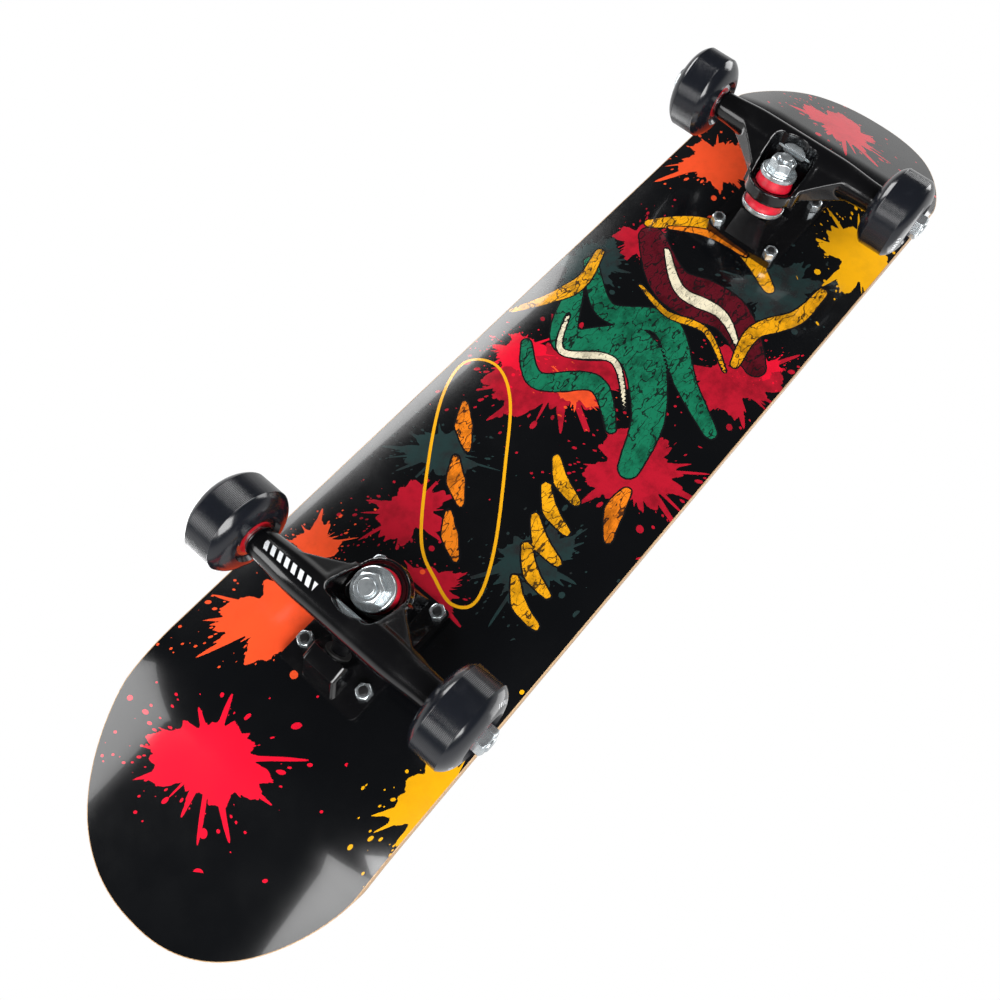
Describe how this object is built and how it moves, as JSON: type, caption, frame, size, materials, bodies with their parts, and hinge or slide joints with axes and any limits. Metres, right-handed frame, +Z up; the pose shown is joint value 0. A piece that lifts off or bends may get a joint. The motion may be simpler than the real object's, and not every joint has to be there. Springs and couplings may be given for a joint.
{
  "type": "skateboard",
  "caption": "Popsicle-shaped skateboard: kicked maple deck with grip tape, cast trucks on bushings that lean to steer, and ball-bearing wheels.",
  "frame": {"origin": "on the ground under the middle of the deck's bounding box, with the board standing on its four wheels", "axes": "+X along the board towards the nose, +Y across it to the left, +Z up"},
  "size_m": [0.737, 0.181, 0.1329],
  "materials": {
    "maple": "satin",
    "deck_lacquer": "gloss",
    "grip": "matt",
    "black_casting": "gloss",
    "zinc": "satin",
    "black_steel": "satin",
    "bearing_steel": "polished",
    "cage_steel": "satin",
    "shield_red": "satin",
    "bushing_red": "satin",
    "cup_black": "satin",
    "wheel_urethane": "gloss"
  },
  "bodies": {
    "deck": {"deck_ply_1": "deck_lacquer", "deck_ply_2": "maple", "deck_ply_3": "maple", "deck_ply_4": "maple", "deck_ply_5": "maple", "deck_ply_6": "maple", "deck_ply_7": "maple", "grip_tape": "grip", "front_mounting_bolts": "black_steel", "front_mounting_nuts": "zinc", "front_baseplate": "black_casting", "front_pivot_cup": "cup_black", "front_kingpin": "zinc", "front_kingpin_nut": "zinc", "front_bottom_washer": "zinc", "front_lower_bushing": "bushing_red", "front_upper_bushing": "bushing_red", "front_top_washer": "zinc", "rear_mounting_bolts": "black_steel", "rear_mounting_nuts": "zinc", "rear_baseplate": "black_casting", "rear_pivot_cup": "cup_black", "rear_kingpin": "zinc", "rear_kingpin_nut": "zinc", "rear_bottom_washer": "zinc", "rear_lower_bushing": "bushing_red", "rear_upper_bushing": "bushing_red", "rear_top_washer": "zinc"},
    "front_hanger": {"front_hanger": "black_casting", "front_axle": "zinc", "front_axle_nuts": "zinc", "front_speed_washers": "zinc", "front_inner_rings": "bearing_steel", "front_bearing_spacers": "zinc"},
    "front_left_wheel": {"front_left_wheel": "wheel_urethane", "front_left_outer_rings": "bearing_steel", "front_left_bearing_shields": "shield_red"},
    "front_left_cage": {"front_left_balls": "bearing_steel", "front_left_ball_cages": "cage_steel"},
    "front_right_wheel": {"front_right_wheel": "wheel_urethane", "front_right_outer_rings": "bearing_steel", "front_right_bearing_shields": "shield_red"},
    "front_right_cage": {"front_right_balls": "bearing_steel", "front_right_ball_cages": "cage_steel"},
    "rear_hanger": {"rear_hanger": "black_casting", "rear_axle": "zinc", "rear_axle_nuts": "zinc", "rear_speed_washers": "zinc", "rear_inner_rings": "bearing_steel", "rear_bearing_spacers": "zinc"},
    "rear_left_wheel": {"rear_left_wheel": "wheel_urethane", "rear_left_outer_rings": "bearing_steel", "rear_left_bearing_shields": "shield_red"},
    "rear_left_cage": {"rear_left_balls": "bearing_steel", "rear_left_ball_cages": "cage_steel"},
    "rear_right_wheel": {"rear_right_wheel": "wheel_urethane", "rear_right_outer_rings": "bearing_steel", "rear_right_bearing_shields": "shield_red"},
    "rear_right_cage": {"rear_right_balls": "bearing_steel", "rear_right_ball_cages": "cage_steel"}
  },
  "joints": [
    {"name": "front_steer", "type": "hinge", "parent": "deck", "child": "front_hanger", "pos_m": [0.2085, 0, 0.061], "axis": [-0.8524, 0, -0.5229], "range_deg": [-12, 12], "stiffness_Nm_per_rad": 40, "deforming": ["front_lower_bushing", "front_upper_bushing"]},
    {"name": "front_left_wheel_spin", "type": "hinge", "parent": "front_hanger", "child": "front_left_wheel", "pos_m": [0.1905, 0.071, 0.024], "axis": [0, 1, 0], "continuous": true},
    {"name": "front_left_cage_spin", "type": "hinge", "parent": "front_hanger", "child": "front_left_cage", "pos_m": [0.1905, 0.071, 0.024], "axis": [0, 1, 0], "continuous": true},
    {"name": "front_right_wheel_spin", "type": "hinge", "parent": "front_hanger", "child": "front_right_wheel", "pos_m": [0.1905, -0.071, 0.024], "axis": [0, 1, 0], "continuous": true},
    {"name": "front_right_cage_spin", "type": "hinge", "parent": "front_hanger", "child": "front_right_cage", "pos_m": [0.1905, -0.071, 0.024], "axis": [0, 1, 0], "continuous": true},
    {"name": "rear_steer", "type": "hinge", "parent": "deck", "child": "rear_hanger", "pos_m": [-0.2135, 0, 0.061], "axis": [0.8524, 0, -0.5229], "range_deg": [-12, 12], "stiffness_Nm_per_rad": 40, "deforming": ["rear_lower_bushing", "rear_upper_bushing"]},
    {"name": "rear_left_wheel_spin", "type": "hinge", "parent": "rear_hanger", "child": "rear_left_wheel", "pos_m": [-0.1955, 0.071, 0.024], "axis": [0, 1, 0], "continuous": true},
    {"name": "rear_left_cage_spin", "type": "hinge", "parent": "rear_hanger", "child": "rear_left_cage", "pos_m": [-0.1955, 0.071, 0.024], "axis": [0, 1, 0], "continuous": true},
    {"name": "rear_right_wheel_spin", "type": "hinge", "parent": "rear_hanger", "child": "rear_right_wheel", "pos_m": [-0.1955, -0.071, 0.024], "axis": [0, 1, 0], "continuous": true},
    {"name": "rear_right_cage_spin", "type": "hinge", "parent": "rear_hanger", "child": "rear_right_cage", "pos_m": [-0.1955, -0.071, 0.024], "axis": [0, 1, 0], "continuous": true}
  ],
  "couplings": [
    {"joint": "front_left_cage_spin", "follows": "front_left_wheel_spin", "ratio": 0.628},
    {"joint": "front_right_cage_spin", "follows": "front_right_wheel_spin", "ratio": 0.628},
    {"joint": "rear_left_cage_spin", "follows": "rear_left_wheel_spin", "ratio": 0.628},
    {"joint": "rear_right_cage_spin", "follows": "rear_right_wheel_spin", "ratio": 0.628}
  ]
}
